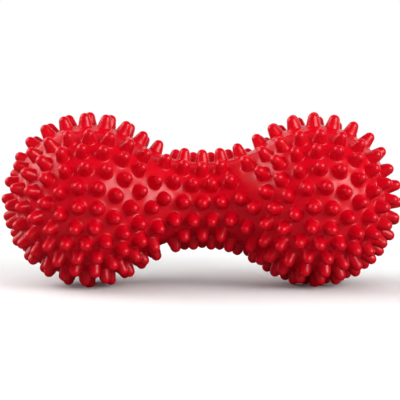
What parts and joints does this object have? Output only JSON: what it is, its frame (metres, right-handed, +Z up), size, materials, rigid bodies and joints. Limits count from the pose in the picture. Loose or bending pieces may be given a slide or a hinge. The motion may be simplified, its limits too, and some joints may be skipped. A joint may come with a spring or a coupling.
{
  "type": "peanut massage ball",
  "caption": "Soft peanut-shaped massage roller: round lobes joined by a slim waist, with blunt rounded nubs standing all over its skin.",
  "frame": {"origin": "centre of the waist, midway between the centres of the two lobes", "axes": "+X along the ball's long axis, +Z up as the ball lies on its nubs, -Y towards the side that the picture shows"},
  "size_m": [0.1597, 0.0702, 0.0697],
  "materials": {
    "soft_pvc": "semi-gloss moulded soft vinyl, saturated red"
  },
  "bodies": {
    "root": {"peanut_ball": "soft_pvc"}
  },
  "joints": []
}
